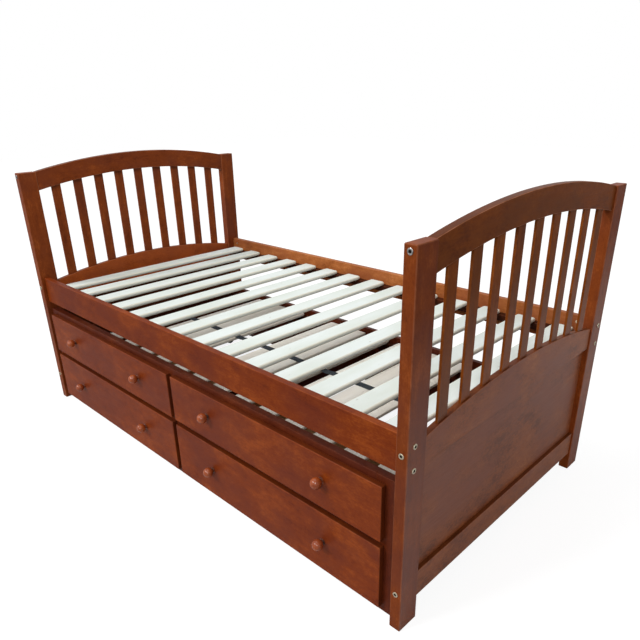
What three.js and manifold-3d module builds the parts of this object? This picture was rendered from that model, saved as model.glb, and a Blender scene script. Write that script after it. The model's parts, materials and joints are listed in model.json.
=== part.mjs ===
import * as THREE from 'three';
import Module from 'manifold-3d';
import { mergeVertices } from 'three/addons/utils/BufferGeometryUtils.js';

const wasm = await Module();
wasm.setup();

// A single captain's bed with slatted end boards and a rolling trundle that carries two drawers.
// Millimetres, +Z up. X runs from the headboard (-X) to the footboard (+X), the drawers face -Y.
// Left and right are as seen from the drawer side.

// Clearances shared by neighbours, and how deep a joined piece is let in
const seatGap = 0.3;
const slideGap = 0.3;
const letIn = 0.5;

// End boards
const bedLength = 2000;
const bedWidth = 1084;
const postHeight = 1012;
const postThickness = 34;
const postWidth = 72;
const postEase = 3;
const boardRailThickness = 19;
const boardRailSetback = 6;
const railEase = 2;
const topRailThickness = 24;
const topRailEndDrop = 75;
const topRailDepth = 75;
const topRailRise = 48;
const midRailBottom = 479;
const midRailEndHeight = 73;
const midRailRise = 48;
const bottomRailBottom = 66;
const bottomRailHeight = 84;
const panelThickness = 6;
const panelRecess = 12;
const archSteps = 16;

// Spindles in the end boards
const spindleCount = 9;
const spindleWidth = 40;
const spindleThickness = 8;
const spindleEase = 1.5;

// Side rails and the ledgers that carry the slats
const sideRailBottom = 471;
const sideRailHeight = 105;
const sideRailThickness = 22;
const sideRailSetback = 15;
const ledgerDepth = 30;
const ledgerHeight = 24;
const ledgerRise = 52;

// Slats of the main bed
const slatCount = 14;
const slatWidth = 72;
const slatThickness = 16;
const slatEndGap = 33;
const slatRailGap = 14;
const slatRound = 6;
const slatRoundSteps = 3;
const slatEndEase = 2.5;

// Bolts and barrel nuts
const boltHeadRadius = 7.5;
const boltHeadHeight = 2;
const boltHeadEase = 0.6;
const boltSocketRadius = 3.5;
const boltSocketDepth = 1.4;
const fastenerSides = 12;
const topBoltDrop = 15;
const railBoltRise = 53;
const sideBoltLow = 17;
const sideBoltHigh = 23;
const nutRadius = 6;
const nutHeight = 0.8;
const nutSlotRadius = 2;
const nutSlotDepth = 0.4;
const nutInset = 32;

// Trundle case
const trundleSideGap = 11;
const trundleTopGap = 31;
const trundleFloorGap = 13;
const trundleSetback = 17;
const trundleBackSetback = 73;
const frameThickness = 25;
const stileWidth = 57;
const centreStileWidth = 40;
const frameTopRailHeight = 40;
const frameMidRailHeight = 45;
const frameBottomRailHeight = 47;
const caseEase = 1.5;
const endPanelThickness = 18;
const backBoardThickness = 19;
const dividerThickness = 18;
const caseWallTop = 320;

// Fronts of the trundle
const frontThickness = 18;
const frontEase = 3;
const frontSideReveal = 25;
const frontTopReveal = 19;
const frontBottomReveal = 22;
const frontCentreGap = 22;
const frontRowGap = 19;
const lowerFrontHeight = 200;

// Knobs
const knobBallRadius = 16.5;
const knobReach = 36.5;
const knobNeckRadius = 7;
const knobFootRadius = 10;
const knobFootThickness = 2;
const knobFootSlope = 1;
const knobSpacing = 512;
const knobSides = 16;
const knobBallSteps = 7;
const lowerKnobRise = 4;
const upperKnobRise = 7;

// Trundle deck
const trundleSlatCount = 13;
const trundleSlatWidth = 82;
const trundleSlatThickness = 13;
const trundleSlatTop = 300;
const trundleSlatEndGap = 104;
const trundleSlatWallGap = 3;
const trundleSlatEase = 2;
const cleatDepth = 20;
const cleatHeight = 24;
const strapWidth = 30;
const strapThickness = 1.5;
const strapOffset = 30;

// Drawer trays and their runners
const trayDepth = 450;
const trayWall = 12;
const trayFloor = 6;
const trayFloorRise = 8;
const traySideGap = 4;
const trayBottomGap = 24;
const trayTopGap = 16;
const runnerHeight = 20;

// Rollers under the trundle
const rollerRadius = 25;
const rollerWidth = 20;
const rollerEase = 2;
const rollerFloorGap = 0.5;
const rollerSides = 24;
const axleRadius = 4;
const axleSides = 12;
const rollerSideGap = 1;
const forkThickness = 2.5;
const forkWidth = 24;
const forkBelowAxle = 8;
const bracketPlateThickness = 3;
const bracketPlateWidth = 44;
const bracketPlateLength = 60;
const rollerFrontInset = 50;
const rollerBackInset = 50;

// Places worked out from the sizes above
const postOuterX = bedLength / 2;
const postInnerX = postOuterX - postThickness;
const postMiddleX = (postInnerX + postOuterX) / 2;
const postOuterY = bedWidth / 2;
const postInnerY = postOuterY - postWidth;
const boardRailOuterX = postOuterX - boardRailSetback;
const boardRailInnerX = boardRailOuterX - boardRailThickness;
const boardRailMiddleX = (boardRailOuterX + boardRailInnerX) / 2;
const panelOuterX = boardRailOuterX - panelRecess;
const topRailEndBottom = postHeight - topRailEndDrop;
const bottomRailTop = bottomRailBottom + bottomRailHeight;
const sideRailTop = sideRailBottom + sideRailHeight;
const sideRailOuterY = postOuterY - sideRailSetback;
const sideRailInnerY = sideRailOuterY - sideRailThickness;
const sideRailMiddleY = (sideRailInnerY + sideRailOuterY) / 2;
const ledgerTop = sideRailBottom + ledgerRise;
const caseOuterX = postInnerX - trundleSideGap;
const caseInnerX = caseOuterX - endPanelThickness;
const frameFaceY = -postOuterY + trundleSetback;
const frameBackY = frameFaceY + frameThickness;
const backOuterY = postOuterY - trundleBackSetback;
const backInnerY = backOuterY - backBoardThickness;
const frameTop = sideRailBottom - trundleTopGap;
const stileInnerX = caseOuterX - stileWidth;
const openingBottom = trundleFloorGap + frameBottomRailHeight;
const frontOuterX = caseOuterX - frontSideReveal;
const frontInnerX = frontCentreGap / 2;
const frontMiddleX = (frontOuterX + frontInnerX) / 2;
const frontFaceY = frameFaceY - frontThickness;
const lowerFrontBottom = trundleFloorGap + frontBottomReveal;
const lowerFrontTop = lowerFrontBottom + lowerFrontHeight;
const upperFrontBottom = lowerFrontTop + frontRowGap;
const upperFrontTop = frameTop - frontTopReveal;
const midRailMiddle = (lowerFrontTop + upperFrontBottom) / 2;
const frameMidRailBottom = midRailMiddle - frameMidRailHeight / 2;
const frameMidRailTop = midRailMiddle + frameMidRailHeight / 2;
const trundleSlatBottom = trundleSlatTop - trundleSlatThickness;
const trayInnerX = centreStileWidth / 2 + traySideGap;
const trayOuterX = stileInnerX - traySideGap;
const trayBottom = openingBottom + trayBottomGap;
const trayTop = frameMidRailBottom - trayTopGap;
const trayBackY = frameFaceY + trayDepth;
const runnerTop = trayBottom - slideGap;
const axleHeight = rollerRadius + rollerFloorGap;
const endRollerX = caseOuterX - bracketPlateWidth / 2;

// The knobs reach further out than the bolts at the back, so the bed is moved back to stand centred
const reachFront = -frontFaceY + knobReach;
const reachBack = postOuterY + boltHeadHeight;
const centreShift = (reachFront - reachBack) / 2;

// Finish of each kind of piece
const finishes = {
  endBoard: { color: 0x6b3422, roughness: 0.45 },
  face: { color: 0x7b3a1c, roughness: 0.45 },
  front: { color: 0x7b3a1c, roughness: 0.4 },
  inside: { color: 0x7b3a1c, roughness: 0.6 },
  slat: { color: 0xe5f0ee, roughness: 0.6 },
  trundleSlat: { color: 0xe6e0d4, roughness: 0.6 },
  tray: { color: 0xc9a878, roughness: 0.6 },
  bracket: { color: 0x3c3c3c, roughness: 0.5, metalness: 0.6 },
  roller: { color: 0x26262a, roughness: 0.5 },
};

const bed = new THREE.Group();
bed.position.y = centreShift;

// Materials, one per mesh
function finish(kind) {
  return new THREE.MeshStandardMaterial(finishes[kind]);
}

function addMesh(name, geometry, material) {
  const mesh = new THREE.Mesh(geometry, material);
  mesh.name = name;
  bed.add(mesh);
  return mesh;
}

// Directions that a profile is drawn and swept in
const alongX = new THREE.Matrix4().makeBasis(
  new THREE.Vector3(0, 1, 0),
  new THREE.Vector3(0, 0, 1),
  new THREE.Vector3(1, 0, 0),
);
const alongY = new THREE.Matrix4().makeBasis(
  new THREE.Vector3(0, 0, 1),
  new THREE.Vector3(1, 0, 0),
  new THREE.Vector3(0, 1, 0),
);

function facing(direction) {
  const up = new THREE.Vector3(0, 0, 1);
  const side = new THREE.Vector3().crossVectors(up, direction);
  return new THREE.Matrix4().makeBasis(up, direction, side);
}

// Sweep of a flat outline with eased edges at both ends
function easedSweep(outline, length, ease) {
  const geometry = new THREE.ExtrudeGeometry(outline, {
    depth: length - 2 * ease,
    bevelEnabled: true,
    bevelThickness: ease,
    bevelSize: ease,
    bevelOffset: -ease,
    bevelSegments: 1,
  });
  geometry.translate(0, 0, ease - length / 2);
  return geometry;
}

function cutCornerOutline(width, height, cut) {
  const w = width / 2;
  const h = height / 2;
  const outline = new THREE.Shape();
  outline.moveTo(cut - w, -h);
  outline.lineTo(w - cut, -h);
  outline.lineTo(w, cut - h);
  outline.lineTo(w, h - cut);
  outline.lineTo(w - cut, h);
  outline.lineTo(cut - w, h);
  outline.lineTo(-w, h - cut);
  outline.lineTo(-w, cut - h);
  outline.closePath();
  return outline;
}

function limitedEase(ease, ...sizes) {
  const mostShare = 0.4;
  return Math.min(ease, mostShare * Math.min(...sizes));
}

function easedBoard(width, depth, height, ease) {
  const cut = limitedEase(ease, width, depth, height);
  return easedSweep(cutCornerOutline(width, depth, cut), height, cut);
}

// A board given by where its faces lie
function boardBetween(x, y, z, ease) {
  const geometry = easedBoard(x[1] - x[0], y[1] - y[0], z[1] - z[0], ease);
  geometry.translate((x[0] + x[1]) / 2, (y[0] + y[1]) / 2, (z[0] + z[1]) / 2);
  return geometry;
}

function plainBox(x, y, z) {
  const geometry = new THREE.BoxGeometry(x[1] - x[0], y[1] - y[0], z[1] - z[0]);
  geometry.translate((x[0] + x[1]) / 2, (y[0] + y[1]) / 2, (z[0] + z[1]) / 2);
  return geometry;
}

// A range on one side of the middle, or its mirror image on the other
function sided(side, inner, outer) {
  return side > 0 ? [inner, outer] : [-outer, -inner];
}

// Booleans
const weldDistance = 1e-4;

function toSolid(geometry) {
  const bare = geometry.clone();
  bare.deleteAttribute('normal');
  bare.deleteAttribute('uv');
  const merged = mergeVertices(bare, weldDistance);
  return new wasm.Manifold(new wasm.Mesh({
    numProp: 3,
    vertProperties: new Float32Array(merged.attributes.position.array),
    triVerts: new Uint32Array(merged.index.array),
  }));
}

function toGeometry(solid) {
  const mesh = solid.getMesh();
  const geometry = new THREE.BufferGeometry();
  geometry.setAttribute('position', new THREE.BufferAttribute(mesh.vertProperties, 3));
  geometry.setIndex(new THREE.BufferAttribute(mesh.triVerts, 1));
  geometry.computeVertexNormals();
  return geometry;
}

function unite(geometries) {
  const solids = geometries.map(toSolid);
  return toGeometry(solids.reduce((sum, solid) => sum.add(solid)));
}

// Height of a flat arch over the inside width of an end board
function archHeight(y, endHeight, rise) {
  const radius = (postInnerY ** 2 + rise ** 2) / (2 * rise);
  const drop = Math.sqrt(radius ** 2 - postInnerY ** 2);
  return endHeight + Math.sqrt(radius ** 2 - y ** 2) - drop;
}

function archPoints(endHeight, rise, fromSide) {
  const points = [];
  for (let step = 0; step <= archSteps; step += 1) {
    const y = fromSide * postInnerY * (1 - 2 * step / archSteps);
    points.push(new THREE.Vector2(y, archHeight(y, endHeight, rise)));
  }
  return points;
}

function archOutline(bottomEnd, bottomRise, topEnd, topRise) {
  const bottom = bottomRise > 0
    ? archPoints(bottomEnd, bottomRise, -1)
    : [new THREE.Vector2(-postInnerY, bottomEnd), new THREE.Vector2(postInnerY, bottomEnd)];
  return new THREE.Shape([...bottom, ...archPoints(topEnd, topRise, 1)]);
}

function archedRail(side, outline, thickness) {
  const geometry = easedSweep(outline, thickness, limitedEase(railEase, thickness));
  geometry.applyMatrix4(alongX);
  geometry.translate(side * (boardRailOuterX - thickness / 2), 0, 0);
  return geometry;
}

// One end board: two posts, three rails, a panel and a row of spindles
function addEndBoard(boardName, side) {
  const wood = () => finish('endBoard');
  const railX = sided(side, boardRailInnerX, boardRailOuterX);
  const railY = [-postInnerY, postInnerY];
  addMesh(`${boardName}_post_front`, postWithBolts(side, -1), wood());
  addMesh(`${boardName}_post_back`, postWithBolts(side, 1), wood());
  const topOutline = archOutline(
    topRailEndBottom,
    topRailRise,
    topRailEndBottom + topRailDepth,
    topRailRise,
  );
  addMesh(`${boardName}_top_rail`, archedRail(side, topOutline, topRailThickness), wood());
  addMesh(`${boardName}_spindle_rail`, spindleRail(side), wood());
  addMesh(
    `${boardName}_bottom_rail`,
    boardBetween(railX, railY, [bottomRailBottom, bottomRailTop], railEase),
    wood(),
  );
  addMesh(
    `${boardName}_panel`,
    plainBox(sided(side, panelOuterX - panelThickness, panelOuterX), railY, [bottomRailTop, midRailBottom]),
    wood(),
  );
}

// A post with the heads of its five bolts: three into the end rails, two into the side rail
function postWithBolts(end, side) {
  const x = sided(end, postInnerX, postOuterX);
  const y = sided(side, postInnerY, postOuterY);
  const pieces = [boardBetween(x, y, [0, postHeight], postEase)];
  const endRailHeights = [
    postHeight - topBoltDrop,
    midRailBottom + railBoltRise,
    bottomRailBottom + railBoltRise,
  ];
  for (const z of endRailHeights) {
    const place = new THREE.Vector3(end * postMiddleX, side * postOuterY, z);
    pieces.push(boltHead(new THREE.Vector3(0, side, 0), place));
  }
  for (const z of [sideRailBottom + sideBoltLow, sideRailTop - sideBoltHigh]) {
    const place = new THREE.Vector3(end * postOuterX, side * sideRailMiddleY, z);
    pieces.push(boltHead(new THREE.Vector3(end, 0, 0), place));
  }
  return unite(pieces);
}

// The middle rail with its spindles, trimmed to the arch of the top rail above them
function spindleRail(side) {
  const gap = (2 * postInnerY - spindleCount * spindleWidth) / (spindleCount + 1);
  const pitch = gap + spindleWidth;
  const x = sided(
    side,
    boardRailMiddleX - spindleThickness / 2,
    boardRailMiddleX + spindleThickness / 2,
  );
  const below = archOutline(midRailBottom, 0, topRailEndBottom - seatGap, topRailRise);
  const trimmer = new THREE.ExtrudeGeometry(below, { depth: boardRailThickness, bevelEnabled: false });
  trimmer.translate(0, 0, -boardRailThickness / 2);
  trimmer.applyMatrix4(alongX);
  trimmer.translate(side * boardRailMiddleX, 0, 0);
  const trim = toSolid(trimmer);
  const midOutline = archOutline(midRailBottom, 0, midRailBottom + midRailEndHeight, midRailRise);
  let rail = toSolid(archedRail(side, midOutline, boardRailThickness));
  for (let index = 0; index < spindleCount; index += 1) {
    const middle = (index - (spindleCount - 1) / 2) * pitch;
    const y = [middle - spindleWidth / 2, middle + spindleWidth / 2];
    const longBoard = boardBetween(x, y, [midRailBottom + midRailEndHeight / 2, postHeight], spindleEase);
    rail = rail.add(toSolid(longBoard).intersect(trim));
  }
  return toGeometry(rail);
}

// Side rails with the barrel nuts of the upper bolts, and the ledgers that carry the slats
function sideRailWithNuts(side) {
  const y = sided(side, sideRailInnerY, sideRailOuterY);
  const pieces = [boardBetween([-postInnerX, postInnerX], y, [sideRailBottom, sideRailTop], railEase)];
  for (const end of [-1, 1]) {
    const x = end * (postInnerX - nutInset);
    const place = new THREE.Vector3(x, side * sideRailInnerY, sideRailTop - sideBoltHigh);
    pieces.push(barrelNut(new THREE.Vector3(0, -side, 0), place));
  }
  return unite(pieces);
}

function addSideRails() {
  for (const [name, side] of [['front', -1], ['back', 1]]) {
    addMesh(`side_rail_${name}`, sideRailWithNuts(side), finish('face'));
    const ledgerY = sided(side, sideRailInnerY - ledgerDepth, sideRailInnerY);
    const ledgerZ = [ledgerTop - ledgerHeight, ledgerTop];
    const ledger = boardBetween([-postInnerX, postInnerX], ledgerY, ledgerZ, railEase);
    addMesh(`slat_ledger_${name}`, ledger, finish('inside'));
  }
}

// Slats with rounded long edges
function roundedOutline(width, height, radius) {
  const w = width / 2 - radius;
  const h = height / 2 - radius;
  const corners = [[w, h, 0], [-w, h, 1], [-w, -h, 2], [w, -h, 3]];
  const points = [];
  for (const [x, y, quarter] of corners) {
    for (let step = 0; step <= slatRoundSteps; step += 1) {
      const angle = (quarter + step / slatRoundSteps) * Math.PI / 2;
      points.push(new THREE.Vector2(x + radius * Math.cos(angle), y + radius * Math.sin(angle)));
    }
  }
  return new THREE.Shape(points);
}

function addMainSlats() {
  const pitch = (2 * (postInnerX - slatEndGap) - slatWidth) / (slatCount - 1);
  const length = 2 * (sideRailInnerY - slatRailGap);
  const radius = limitedEase(slatRound, slatThickness, slatWidth);
  const outline = roundedOutline(slatThickness, slatWidth, radius);
  for (let index = 0; index < slatCount; index += 1) {
    const geometry = easedSweep(outline, length, Math.min(slatEndEase, radius));
    geometry.applyMatrix4(alongY);
    const number = String(index + 1).padStart(2, '0');
    const slat = addMesh(`main_slat_${number}`, geometry, finish('slat'));
    const x = (index - (slatCount - 1) / 2) * pitch;
    slat.position.set(x, 0, ledgerTop + slatThickness / 2);
  }
}

// A round piece turned about its own axis and set on a face
function turned(profile, sides, direction, position) {
  const geometry = new THREE.LatheGeometry(profile.map(([r, h]) => new THREE.Vector2(r, h)), sides);
  geometry.applyMatrix4(facing(direction));
  geometry.translate(position.x, position.y, position.z);
  return geometry;
}

function boltHead(direction, position) {
  const profile = [
    [0, -letIn],
    [boltHeadRadius, -letIn],
    [boltHeadRadius, boltHeadHeight - boltHeadEase],
    [boltHeadRadius - boltHeadEase, boltHeadHeight],
    [boltSocketRadius, boltHeadHeight],
    [boltSocketRadius, boltHeadHeight - boltSocketDepth],
    [0, boltHeadHeight - boltSocketDepth],
  ];
  return turned(profile, fastenerSides, direction, position);
}

function barrelNut(direction, position) {
  const profile = [
    [0, -letIn],
    [nutRadius, -letIn],
    [nutRadius, nutHeight],
    [nutSlotRadius, nutHeight],
    [nutSlotRadius, nutHeight - nutSlotDepth],
    [0, nutHeight - nutSlotDepth],
  ];
  return turned(profile, fastenerSides, direction, position);
}

// Face frame at the front of the trundle
function addFaceFrame() {
  const wood = () => finish('face');
  const y = [frameFaceY, frameBackY];
  const between = [-stileInnerX, stileInnerX];
  const topRailBottom = frameTop - frameTopRailHeight;
  const fullHeight = [trundleFloorGap, frameTop];
  const leftStile = sided(-1, stileInnerX, caseOuterX);
  const rightStile = sided(1, stileInnerX, caseOuterX);
  const halfCentre = centreStileWidth / 2;
  const midHeight = [frameMidRailBottom, frameMidRailTop];
  addMesh('trundle_stile_left', boardBetween(leftStile, y, fullHeight, caseEase), wood());
  addMesh('trundle_stile_right', boardBetween(rightStile, y, fullHeight, caseEase), wood());
  addMesh('trundle_top_rail', boardBetween(between, y, [topRailBottom, frameTop], caseEase), wood());
  const bottomHeight = [trundleFloorGap, openingBottom];
  addMesh('trundle_bottom_rail', boardBetween(between, y, bottomHeight, caseEase), wood());
  addMesh(
    'trundle_stile_centre',
    boardBetween([-halfCentre, halfCentre], y, [openingBottom, topRailBottom], caseEase),
    wood(),
  );
  for (const [name, side] of [['left', -1], ['right', 1]]) {
    const midRail = boardBetween(sided(side, halfCentre, stileInnerX), y, midHeight, caseEase);
    addMesh(`trundle_mid_rail_${name}`, midRail, wood());
  }
}

// Ends, back and middle divider of the trundle case, with the runners for the trays
function addCase() {
  const wood = () => finish('inside');
  const depth = [frameBackY, backInnerY];
  const runnerZ = [runnerTop - runnerHeight, runnerTop];
  for (const [name, side] of [['left', -1], ['right', 1]]) {
    const x = sided(side, caseInnerX, caseOuterX);
    const runnerX = sided(side, trayOuterX - trayWall, caseInnerX + letIn);
    const panel = boardBetween(x, depth, [openingBottom, caseWallTop], caseEase);
    const runner = boardBetween(runnerX, depth, runnerZ, caseEase);
    addMesh(`trundle_end_panel_${name}`, unite([panel, runner]), wood());
  }
  addMesh(
    'trundle_back_board',
    boardBetween([-caseOuterX, caseOuterX], [backInnerY, backOuterY], [openingBottom, caseWallTop], caseEase),
    wood(),
  );
  const halfDivider = dividerThickness / 2;
  const reach = trayInnerX + trayWall;
  const wall = boardBetween([-halfDivider, halfDivider], depth, [openingBottom, trundleSlatBottom], caseEase);
  const runners = boardBetween([-reach, reach], depth, runnerZ, caseEase);
  const notchZ = [trundleSlatBottom - cleatHeight - seatGap, trundleSlatTop];
  const notches = [
    plainBox([-reach, reach], [frameBackY - cleatDepth, frameBackY + cleatDepth + seatGap], notchZ),
    plainBox([-reach, reach], [backInnerY - cleatDepth - seatGap, backInnerY + cleatDepth], notchZ),
  ];
  const divider = toSolid(unite([wall, runners]));
  const notched = notches.reduce((solid, notch) => solid.subtract(toSolid(notch)), divider);
  addMesh('trundle_divider', toGeometry(notched), wood());
}

// A turned ball knob on a short neck
function knob(x, z) {
  const ballMiddle = knobReach - knobBallRadius;
  const neckAngle = Math.asin(knobNeckRadius / knobBallRadius);
  const profile = [
    [0, -letIn],
    [knobFootRadius, -letIn],
    [knobFootRadius, knobFootThickness],
    [knobNeckRadius, knobFootThickness + knobFootSlope],
  ];
  for (let step = 0; step < knobBallSteps; step += 1) {
    const angle = neckAngle + (Math.PI - neckAngle) * step / knobBallSteps;
    profile.push([knobBallRadius * Math.sin(angle), ballMiddle - knobBallRadius * Math.cos(angle)]);
  }
  profile.push([0, knobReach]);
  return turned(profile, knobSides, new THREE.Vector3(0, -1, 0), new THREE.Vector3(x, frontFaceY, z));
}

function knobPair(side, z) {
  return [-1, 1].map((hand) => knob(side * frontMiddleX + hand * knobSpacing / 2, z));
}

function frontBoard(side, bottom, top) {
  return boardBetween(
    sided(side, frontInnerX, frontOuterX),
    [frontFaceY, frameFaceY],
    [bottom, top],
    frontEase,
  );
}

function frontWithKnobs(side, bottom, top, knobRise) {
  const knobHeight = (bottom + top) / 2 + knobRise;
  return unite([frontBoard(side, bottom, top), ...knobPair(side, knobHeight)]);
}

// The upper row of fronts is fixed
function addFalseFronts() {
  for (const [name, side] of [['left', -1], ['right', 1]]) {
    const front = frontWithKnobs(side, upperFrontBottom, upperFrontTop, upperKnobRise);
    addMesh(`false_front_${name}`, front, finish('front'));
  }
}

// The lower row is two drawers: a front with its knobs, and a tray behind it
function trayGeometry(side) {
  const wallX = sided(side, trayInnerX, trayOuterX);
  const insideX = sided(side, trayInnerX + trayWall, trayOuterX - trayWall);
  const insideY = [frameFaceY + trayWall, trayBackY - trayWall];
  const floorBottom = trayBottom + trayFloorRise;
  const block = toSolid(plainBox(wallX, [frameFaceY, trayBackY], [trayBottom, trayTop]));
  const inside = toSolid(plainBox(insideX, insideY, [floorBottom + trayFloor, trayTop + trayWall]));
  const underside = toSolid(plainBox(insideX, insideY, [trayBottom - trayWall, floorBottom]));
  return toGeometry(block.subtract(inside).subtract(underside));
}

function addDrawers() {
  for (const [name, side] of [['left', -1], ['right', 1]]) {
    const front = frontWithKnobs(side, lowerFrontBottom, lowerFrontTop, lowerKnobRise);
    addMesh(`drawer_front_${name}`, front, finish('front'));
    addMesh(`drawer_tray_${name}`, trayGeometry(side), finish('tray'));
  }
}

// Deck of the trundle: two cleats, and the slats with the strap that holds them in line
function addTrundleDeck() {
  const cleatX = [-caseInnerX, caseInnerX];
  const cleatZ = [trundleSlatBottom - cleatHeight, trundleSlatBottom];
  const cleatFront = boardBetween(cleatX, [frameBackY, frameBackY + cleatDepth], cleatZ, caseEase);
  const cleatBack = boardBetween(cleatX, [backInnerY - cleatDepth, backInnerY], cleatZ, caseEase);
  addMesh('trundle_cleat_front', cleatFront, finish('inside'));
  addMesh('trundle_cleat_back', cleatBack, finish('inside'));
  const firstX = caseInnerX - trundleSlatEndGap - trundleSlatWidth / 2;
  const pitch = 2 * firstX / (trundleSlatCount - 1);
  const y = [frameBackY + trundleSlatWallGap, backInnerY - trundleSlatWallGap];
  const z = [trundleSlatBottom, trundleSlatTop];
  const strapX = firstX + trundleSlatWidth / 2 - trundleSlatEase;
  const strapY = [strapOffset - strapWidth / 2, strapOffset + strapWidth / 2];
  const strapZ = [trundleSlatTop - letIn, trundleSlatTop + strapThickness];
  const pieces = [plainBox([-strapX, strapX], strapY, strapZ)];
  for (let index = 0; index < trundleSlatCount; index += 1) {
    const middle = index * pitch - firstX;
    const x = [middle - trundleSlatWidth / 2, middle + trundleSlatWidth / 2];
    pieces.push(boardBetween(x, y, z, trundleSlatEase));
  }
  addMesh('trundle_slats', unite(pieces), finish('trundleSlat'));
}

// Fork bracket with its axle, under the case
function rollerBracket(x, y) {
  const plateTop = openingBottom;
  const plateBottom = plateTop - bracketPlateThickness;
  const forkInner = rollerWidth / 2 + rollerSideGap;
  const forkOuter = forkInner + forkThickness;
  const forkY = [y - forkWidth / 2, y + forkWidth / 2];
  const forkZ = [axleHeight - forkBelowAxle, plateTop - bracketPlateThickness / 2];
  const plate = plainBox(
    [x - bracketPlateWidth / 2, x + bracketPlateWidth / 2],
    [y - bracketPlateLength / 2, y + bracketPlateLength / 2],
    [plateBottom, plateTop],
  );
  const forkLeft = plainBox([x - forkOuter, x - forkInner], forkY, forkZ);
  const forkRight = plainBox([x + forkInner, x + forkOuter], forkY, forkZ);
  const axle = new THREE.CylinderGeometry(axleRadius, axleRadius, 2 * forkOuter, axleSides);
  axle.applyMatrix4(facing(new THREE.Vector3(1, 0, 0)));
  axle.translate(x, y, axleHeight);
  return unite([plate, forkLeft, forkRight, axle]);
}

function roller(x, y) {
  const half = rollerWidth / 2;
  const bore = axleRadius + slideGap;
  const profile = [
    [bore, -half],
    [rollerRadius - rollerEase, -half],
    [rollerRadius, rollerEase - half],
    [rollerRadius, half - rollerEase],
    [rollerRadius - rollerEase, half],
    [bore, half],
    [bore, -half],
  ];
  return turned(profile, rollerSides, new THREE.Vector3(1, 0, 0), new THREE.Vector3(x, y, axleHeight));
}

function addRollers() {
  const places = [
    ['front_left', -endRollerX, frameBackY + rollerFrontInset],
    ['front_right', endRollerX, frameBackY + rollerFrontInset],
    ['rear_left', -endRollerX, backInnerY - rollerBackInset],
    ['rear_right', endRollerX, backInnerY - rollerBackInset],
  ];
  for (const [name, x, y] of places) {
    addMesh(`roller_bracket_${name}`, rollerBracket(x, y), finish('bracket'));
    addMesh(`roller_${name}`, roller(x, y), finish('roller'));
  }
}

addEndBoard('head', -1);
addEndBoard('foot', 1);
addSideRails();
addMainSlats();
addFaceFrame();
addCase();
addFalseFronts();
addDrawers();
addTrundleDeck();
addRollers();

export default bed;
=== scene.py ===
import json
import math
import random

import bmesh
import bpy
from mathutils import Matrix, Vector


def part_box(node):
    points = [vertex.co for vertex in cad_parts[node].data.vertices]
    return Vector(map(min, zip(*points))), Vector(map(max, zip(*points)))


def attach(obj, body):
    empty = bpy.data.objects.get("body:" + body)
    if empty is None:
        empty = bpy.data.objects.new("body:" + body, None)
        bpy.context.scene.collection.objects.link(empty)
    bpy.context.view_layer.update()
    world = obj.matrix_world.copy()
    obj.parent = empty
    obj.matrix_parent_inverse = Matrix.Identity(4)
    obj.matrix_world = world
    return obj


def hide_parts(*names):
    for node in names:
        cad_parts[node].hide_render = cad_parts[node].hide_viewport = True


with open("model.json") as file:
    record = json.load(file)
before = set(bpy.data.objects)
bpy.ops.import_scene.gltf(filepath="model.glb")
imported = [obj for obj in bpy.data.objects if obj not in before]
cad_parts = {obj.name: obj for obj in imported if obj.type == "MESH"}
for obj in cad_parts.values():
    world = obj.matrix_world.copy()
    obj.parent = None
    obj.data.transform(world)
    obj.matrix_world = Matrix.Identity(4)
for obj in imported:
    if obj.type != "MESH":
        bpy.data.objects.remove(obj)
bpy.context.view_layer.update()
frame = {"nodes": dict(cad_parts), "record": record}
BODY_OF = {node: body for body, nodes in frame["record"]["behaviour"]["bodies"].items() for node in nodes}

# Slots of the record, which dress_board takes but does not use
END_SLOT = "end_board_wood"
RAIL_SLOT = "rail_wood"

# All sizes and places are in metres.
# The middle of the bed lies this far behind the middle of the whole object
MIDDLE_Y = 0.01775

# Posts, as in the solids
POST_X = (0.966, 1.000)
POST_Y = (0.470, 0.542)
POST_MIDDLE_X = sum(POST_X) / 2
POST_HEIGHT = 1.012

# Rails and spindles of the end boards, as in the solids
RAIL_OUTER_X = 0.994
RAIL_THICKNESS = 0.019
RAIL_MIDDLE_X = RAIL_OUTER_X - RAIL_THICKNESS / 2
TOP_RAIL_THICKNESS = 0.024
TOP_RAIL_UNDER = 0.937
TOP_RAIL_TOP = 1.012
TOP_RAIL_RISE = 0.048
MID_RAIL_UNDER = 0.479
MID_RAIL_TOP = 0.552
MID_RAIL_RISE = 0.048
ARCH_STEPS = 56
SPINDLES = 9
SPINDLE_WIDTH = 0.040
SPINDLE_THICKNESS = 0.008
SPINDLE_TENON = 0.008

# Side of each end board, and the stain of its top rail and spindles, of its middle rail and of its posts
END_BOARDS = {
    # The head board's stains and the foot's panel stain are lighter copies: painted light
    "head": (-1, "head", "warm", "head"),
    "foot": (1, "end", "panel", "post"),
}

# Side rails without their nuts
SIDE_RAIL_Y = (0.505, 0.527)
SIDE_RAIL_MIDDLE_Y = sum(SIDE_RAIL_Y) / 2

# Heights of the bolts into the end rails and into the side rails
RAIL_BOLTS = (0.997, 0.532, 0.119)
SIDE_BOLTS = (0.488, 0.553)

# Bolt head: radius and height of each ring, first the rim and then the hexagon socket
BOLT_RIM = ((0.0074, -0.0008), (0.0074, 0.0012), (0.0072, 0.0017), (0.0067, 0.00195), (0.0048, 0.0020))
BOLT_SOCKET = ((0.0037, 0.0018), (0.0035, 0.0016), (0.0034, 0.0002))
BOLT_SOCKET_REACH = 0.00355
SOCKET_CORNERS = 6
SMALL_RING_SIDES = 24

# Barrel nut: radius and height of each ring of its rim, and the slot across it.
# The slot's rows give its half length at the ends and beside them and its half width,
# as shares of the radius, and the height
NUT_X = 0.934
NUT_RADIUS = 0.0059
NUT_RIM = ((0.0059, -0.0006), (0.0059, 0.0005), (0.0056, 0.0008))
NUT_SLOT = ((0.62, 0.5, 0.22, 0.00078), (0.6, 0.48, 0.2, 0.0001))
NUT_SLOT_END = 0.002

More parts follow.
